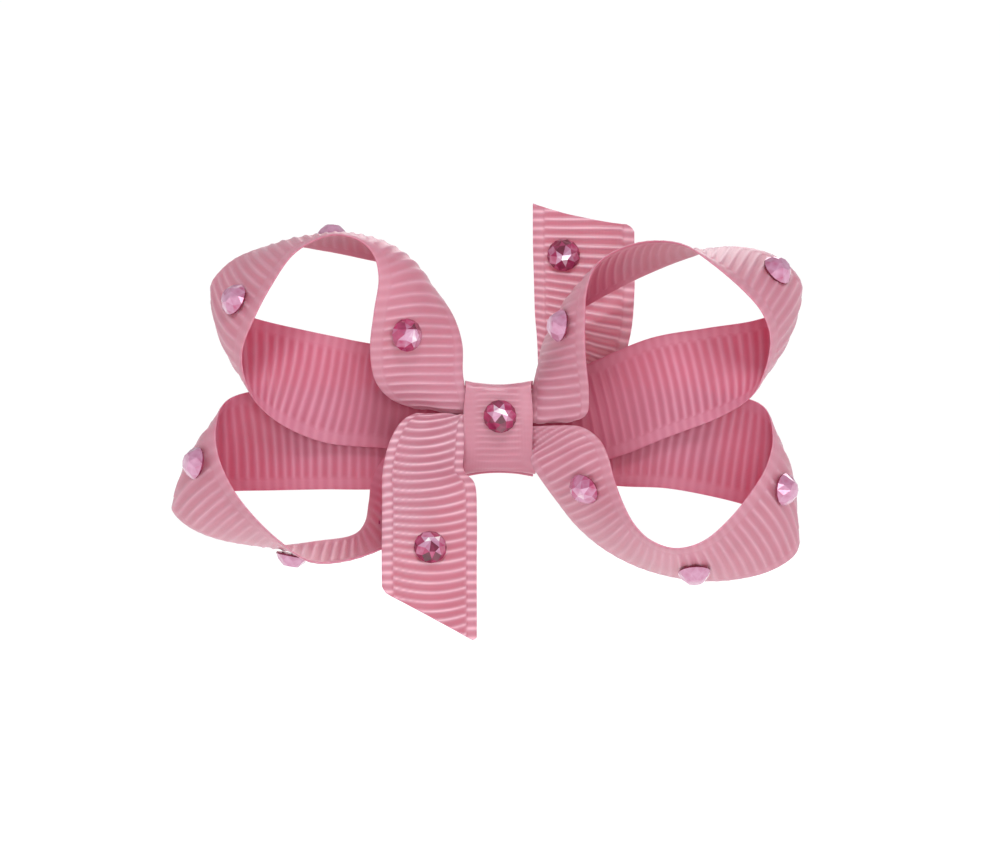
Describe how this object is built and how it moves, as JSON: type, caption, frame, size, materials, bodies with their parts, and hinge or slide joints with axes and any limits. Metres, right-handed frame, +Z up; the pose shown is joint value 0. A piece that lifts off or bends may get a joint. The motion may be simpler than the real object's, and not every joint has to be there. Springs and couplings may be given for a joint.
{
  "type": "hair bow",
  "caption": "Twisted-loop grosgrain ribbon hair bow with two cut tails, a wrapped middle and glued-on crystals, on a sprung alligator clip that grips a lock of hair.",
  "frame": {"origin": "middle of the clip's gripping plane, behind the middle of the bow, where the hair is held", "axes": "+X along the bow and the clip, towards the wearer's left as the bow faces you; +Z up; the bow faces -Y and the clip is on the +Y side"},
  "size_m": [0.0635, 0.0192, 0.0438],
  "materials": {
    "ribbon": "ribbed grosgrain with a soft satin sheen",
    "wrap_ribbon": "ribbed grosgrain with a soft satin sheen",
    "lining_ribbon": "ribbed grosgrain, matte",
    "thread": "twisted polyester",
    "crystal": "faceted, foil-backed",
    "glue": "translucent hot-melt",
    "clip_steel": "nickel plated",
    "pin_steel": "nickel plated",
    "spring_steel": "drawn wire"
  },
  "bodies": {
    "bow": {"loop_upper_left": "ribbon", "loop_lower_left": "ribbon", "loop_upper_right": "ribbon", "loop_lower_right": "ribbon", "tail_lower": "ribbon", "tail_upper": "ribbon", "gathered_middle": "ribbon", "binding_thread": "thread", "center_wrap": "wrap_ribbon", "glue_bow": "glue", "glue_wrap_end": "glue", "clip_base": "clip_steel", "clip_lining": "lining_ribbon", "hinge_pin": "pin_steel", "torsion_spring": "spring_steel", "crystal_center": "crystal", "crystal_lower_tail": "crystal", "crystal_upper_tail": "crystal", "crystal_upper_left_1": "crystal", "crystal_upper_left_2": "crystal", "crystal_upper_left_3": "crystal", "crystal_lower_left_1": "crystal", "crystal_lower_left_2": "crystal", "crystal_lower_left_3": "crystal", "crystal_upper_right_1": "crystal", "crystal_upper_right_2": "crystal", "crystal_upper_right_3": "crystal", "crystal_lower_right_1": "crystal", "crystal_lower_right_2": "crystal", "crystal_lower_right_3": "crystal"},
    "jaw": {"clip_jaw": "clip_steel"}
  },
  "joints": [
    {"name": "jaw_hinge", "type": "hinge", "parent": "bow", "child": "jaw", "pos_m": [0.012, 0.00075, 0], "axis": [0, 0, -1], "range_deg": [0, 28], "stiffness_Nm_per_rad": 0.03, "springref_deg": -57.3, "deforming": ["torsion_spring"]}
  ]
}
